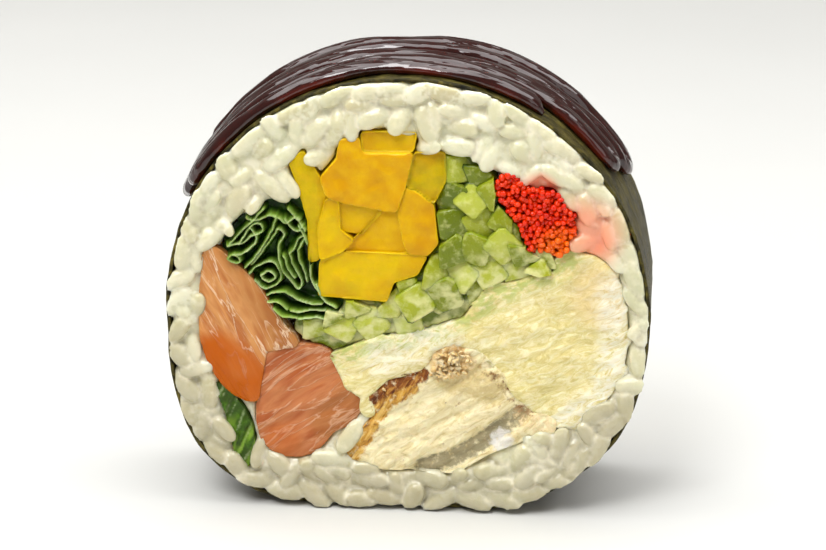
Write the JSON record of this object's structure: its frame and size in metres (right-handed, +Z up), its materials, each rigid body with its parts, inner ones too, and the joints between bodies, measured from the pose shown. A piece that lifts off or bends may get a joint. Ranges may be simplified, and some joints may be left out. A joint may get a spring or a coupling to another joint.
{
  "type": "futomaki slice",
  "caption": "Thick sushi roll slice standing on its flattened underside: rice in a seaweed wrap round vegetable, fish and cream cheese fillings, with strands of sauce over the top.",
  "frame": {"origin": "middle of the flat underside that the slice stands on, at the centre of its box in X and Y", "axes": "+Z up; the roll's axis along Y, with the cut face that shows towards -Y; +X to the right as seen from there"},
  "size_m": [0.062, 0.02, 0.0597],
  "materials": {
    "rice": "moist, slightly translucent cooked grains",
    "nori": "dark dried seaweed, moist, with a faint sheen",
    "sauce": "thick glossy dark brown glaze",
    "takuan": "moist, translucent yellow pickle",
    "salmon": "moist orange fish with fine pale fat lines",
    "salmon_pale": "moist pink-brown fish with pale fat lines",
    "lettuce": "dark green leaf with pale cut edges",
    "eel": "flaky cooked flesh with browned edges",
    "tobiko": "shiny red roe",
    "cucumber": "wet pale green flesh with some dark green skin",
    "cream_cheese": "soft spread drawn out by the knife"
  },
  "bodies": {
    "root": {"rice": "rice", "nori": "nori", "takuan_left_plank": "takuan", "takuan_inner_plank": "takuan", "takuan_crown": "takuan", "takuan_main": "takuan", "takuan_wedge": "takuan", "takuan_middle": "takuan", "takuan_right_plank": "takuan", "takuan_bottom": "takuan", "takuan_green_end": "takuan", "salmon_left": "salmon", "salmon_right": "salmon_pale", "leaf_strip": "lettuce", "eel": "eel", "tobiko": "tobiko", "lettuce": "lettuce", "cucumber": "cucumber", "cream_cheese": "cream_cheese"}
  },
  "joints": []
}
